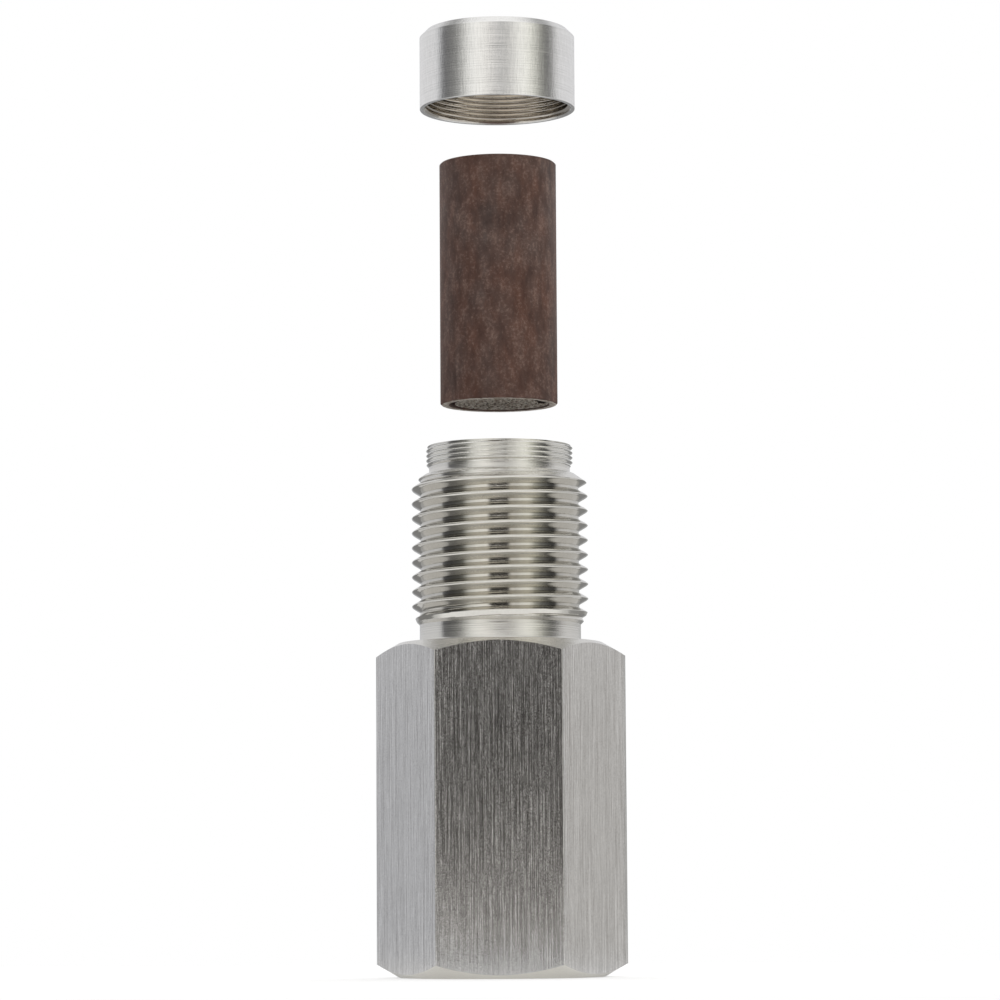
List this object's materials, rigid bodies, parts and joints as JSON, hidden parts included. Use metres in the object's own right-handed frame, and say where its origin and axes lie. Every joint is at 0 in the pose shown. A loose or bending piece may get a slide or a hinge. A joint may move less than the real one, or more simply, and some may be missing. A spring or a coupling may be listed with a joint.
{
  "type": "oxygen sensor extension adapter",
  "caption": "Hexagonal threaded extension adapter for an exhaust oxygen sensor, with a catalyst core drawn out of its bore and a screw-on retaining ring.",
  "frame": {"origin": "centre of the hexagon's foot, on the turning axis", "axes": "+Z along the turning axis, from the hexagon's foot to the threaded nose; +X through a corner of the hexagon, so a flat faces -Y"},
  "size_m": [0.0254, 0.022, 0.0971],
  "materials": {
    "body_steel": "drawn hexagon flats brushed lengthwise, threads turned bright",
    "ring_steel": "fine turned",
    "scaled_steel": "matt, heat-scaled, mottled brown",
    "coated_foil": "matt washcoat on thin foil"
  },
  "bodies": {
    "adapter": {"adapter_body": "body_steel"},
    "core": {"catalyst_sleeve": "scaled_steel", "catalyst_foil": "coated_foil"},
    "ring": {"retaining_ring": "ring_steel"}
  },
  "joints": [
    {"name": "core_slide", "type": "slide", "parent": "adapter", "child": "core", "axis": [0, 0, 1], "range_m": [-0.02525, 0]},
    {"name": "ring_slide", "type": "slide", "parent": "core", "child": "ring", "axis": [0, 0, 1], "range_m": [-0.0127, 0]}
  ]
}
